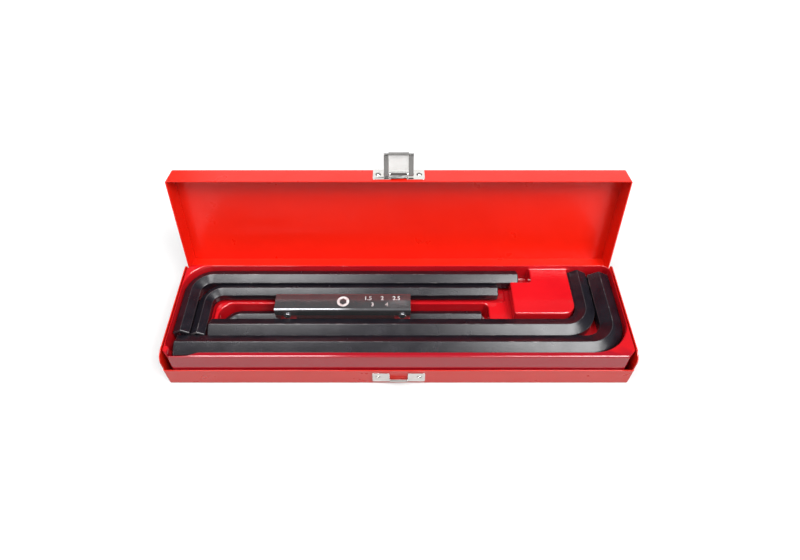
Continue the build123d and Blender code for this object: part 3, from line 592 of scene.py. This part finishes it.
def tray_plan():
    """A flat net of triangles that follows every outline of the tray, closest in the bends."""
    rings = [offset_loop(OUTLINE, -d) for d in quarter_steps(LIP_R)]
    feet = [-d for d in quarter_steps(FOOT_R)]
    lips = [WALL_RUN + d for d in quarter_steps(LIP_R)]
    for corners, _ in TRAY_STEPS:
        rings += [offset_loop(corners, d) for d in [*feet, *lips]]
    points, edges = [], []
    for ring in rings:
        first = len(points)
        points += ring
        edges += [(first + k, first + (k + 1) % len(ring)) for k in range(len(ring))]
    flat, _, faces, *_ = delaunay_2d_cdt(points, edges, [], 1, PLAN_SLACK / 2)
    return np.array([tuple(p) for p in flat]), faces


def press_sheet(shape):
    """The tray's upper face: the net, raised to the height of each point."""
    plan, faces = tray_plan()
    keep = signed_distance(offset_loop(OUTLINE, 0), plan) < PLAN_SLACK
    height = tray_height(plan)
    verts = [shape.verts.new((x * MM, y * MM, z * MM)) for (x, y), z in zip(plan, height)]
    for face in faces:
        if all(keep[i] for i in face):
            shape.faces.new([verts[i] for i in face])
    shape.normal_update()
    bmesh.ops.delete(shape, geom=[v for v in shape.verts if not v.link_faces], context="VERTS")
    for face in shape.faces:
        if face.normal.z < 0:
            face.normal_flip()


def draw_skirt(shape):
    """The skirt: the rim carried down to the bottom, leaning out and rippled along the front."""
    rim = [e for e in shape.edges if e.is_boundary]
    drop = (TRAY_RIM - LIP_R - TRAY_LOW.z) / SKIRT_LEVELS * MM
    for level in range(1, SKIRT_LEVELS + 1):
        made = bmesh.ops.extrude_edge_only(shape, edges=rim)["geom"]
        moved = [g for g in made if isinstance(g, bmesh.types.BMVert)]
        rim = [g for g in made if isinstance(g, bmesh.types.BMEdge) and g.is_boundary]
        for v in moved:
            v.co.z -= drop
            if v.co.y < SKIRT_SIDE * MM and level <= SKIRT_FLARE_LEVELS:
                ripple = math.sin(v.co.x * 31) + 0.6 * math.sin(v.co.x * 74 + 1.3)
                v.co.y -= (SKIRT_FLARE / SKIRT_FLARE_LEVELS + SKIRT_RIPPLE * ripple) * MM


def mark_painted_front_shade(mesh):
    """Mark the front rim and skirt, which the material paints darker as shade."""
    painted_front_shade = mesh.attributes.new("painted_front_shade", "FLOAT", "POINT")
    for vertex, entry in zip(mesh.vertices, painted_front_shade.data):
        front = vertex.co.y < (POCKET_FRONT - WALL_RUN) * MM
        entry.value = 1.0 if front else 0.0


def make_tray():
    mesh = bpy.data.meshes.new("key_tray_formed")
    shape = bmesh.new()
    press_sheet(shape)
    draw_skirt(shape)
    shape.to_mesh(mesh)
    shape.free()
    for polygon in mesh.polygons:
        polygon.use_smooth = True
    mark_painted_front_shade(mesh)
    mesh.materials.append(PLASTIC)
    tray = bpy.data.objects.new("key_tray_formed", mesh)
    scene.collection.objects.link(tray)
    skin = tray.modifiers.new("skin", "SOLIDIFY")
    skin.thickness = TRAY_SKIN * MM
    skin.offset = -1
    normals = tray.modifiers.new("normals", "WEIGHTED_NORMAL")
    normals.weight = NORMAL_WEIGHT
    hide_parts("key_tray")
    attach(tray, "tray")


make_tray()


# ---- stamped mark and sizes on the folding set ------------------------------------------------
channel_low, channel_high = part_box("folding_channel")
STAMP_Z = channel_high.z + 0.02 * MM
STAMP_T = 0.03 * MM
STAMP_MIDDLE_Y = (channel_low.y + channel_high.y) / 2
MARK_X = -48.7 * MM
RING_STEPS = 48
SIZES_X = -27 * MM  # middle of the first size
SIZE_PITCH, SIZE_HEIGHT = 12.5 * MM, 4.0 * MM
ROW_PITCH, ROW_INDENT = 6.6 * MM, 4 * MM
DIGIT_SHARE = 0.7  # of a font's size that its digits are tall


def stamp_piece(name, mesh):
    """Put a flat stamped shape on the channel's web."""
    mesh.materials.append(STAMPED)
    piece = bpy.data.objects.new(name, mesh)
    scene.collection.objects.link(piece)
    piece.location = (0, 0, STAMP_Z)
    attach(piece, "folding_set")


def flat_sided(angle, sides):
    """How far out a regular polygon reaches at an angle, as a share of its corners' radius."""
    bend = math.pi / sides
    return math.cos(bend) / math.cos((angle + bend) % (2 * bend) - bend)


def ring_mark(name, x, outer, inner, sides):
    """A flat ring about a many-sided hole: the generic round mark."""
    mesh = bpy.data.meshes.new(name)
    shape = bmesh.new()
    turns = [2 * math.pi * k / RING_STEPS for k in range(RING_STEPS)]
    round_loop = [(outer * math.cos(a), outer * math.sin(a)) for a in turns]
    reaches = [inner * flat_sided(a, sides) for a in turns]
    sided_loop = [(r * math.cos(a), r * math.sin(a)) for r, a in zip(reaches, turns)]
    loops = []
    for z in (STAMP_T, 0.0):
        for loop in (round_loop, sided_loop):
            loops.append([shape.verts.new((x + dx, STAMP_MIDDLE_Y + dy, z)) for dx, dy in loop])
    for first, second in ((0, 1), (1, 3), (3, 2), (2, 0)):
        for k in range(RING_STEPS):
            n = (k + 1) % RING_STEPS
            shape.faces.new((loops[first][k], loops[first][n], loops[second][n], loops[second][k]))
    bmesh.ops.recalc_face_normals(shape, faces=shape.faces)
    shape.to_mesh(mesh)
    shape.free()
    stamp_piece(name, mesh)


def stamp_text(name, text, x, y, height):
    """A number about height tall, as a thin raised shape."""
    curve = bpy.data.curves.new(name, "FONT")
    curve.body = text
    curve.size = height / DIGIT_SHARE
    curve.extrude = STAMP_T / 2
    curve.align_x = "CENTER"
    curve.align_y = "CENTER"
    holder = bpy.data.objects.new(name + "_curve", curve)
    scene.collection.objects.link(holder)
    mesh = bpy.data.meshes.new_from_object(holder)
    bpy.data.objects.remove(holder)
    for vertex in mesh.vertices:
        vertex.co.x += x
        vertex.co.y += y
    stamp_piece(name, mesh)


ring_mark("channel_mark", MARK_X, 5.3 * MM, 3.4 * MM, 6)
for row, labels in enumerate((("1.5", "2", "2.5"), ("3", "4"))):
    for column, label in enumerate(labels):
        label_x = SIZES_X + SIZE_PITCH * column + ROW_INDENT * row
        label_y = STAMP_MIDDLE_Y + ROW_PITCH * (0.5 - row)
        stamp_text("channel_size_" + label.replace(".", "_"), label, label_x, label_y, SIZE_HEIGHT)
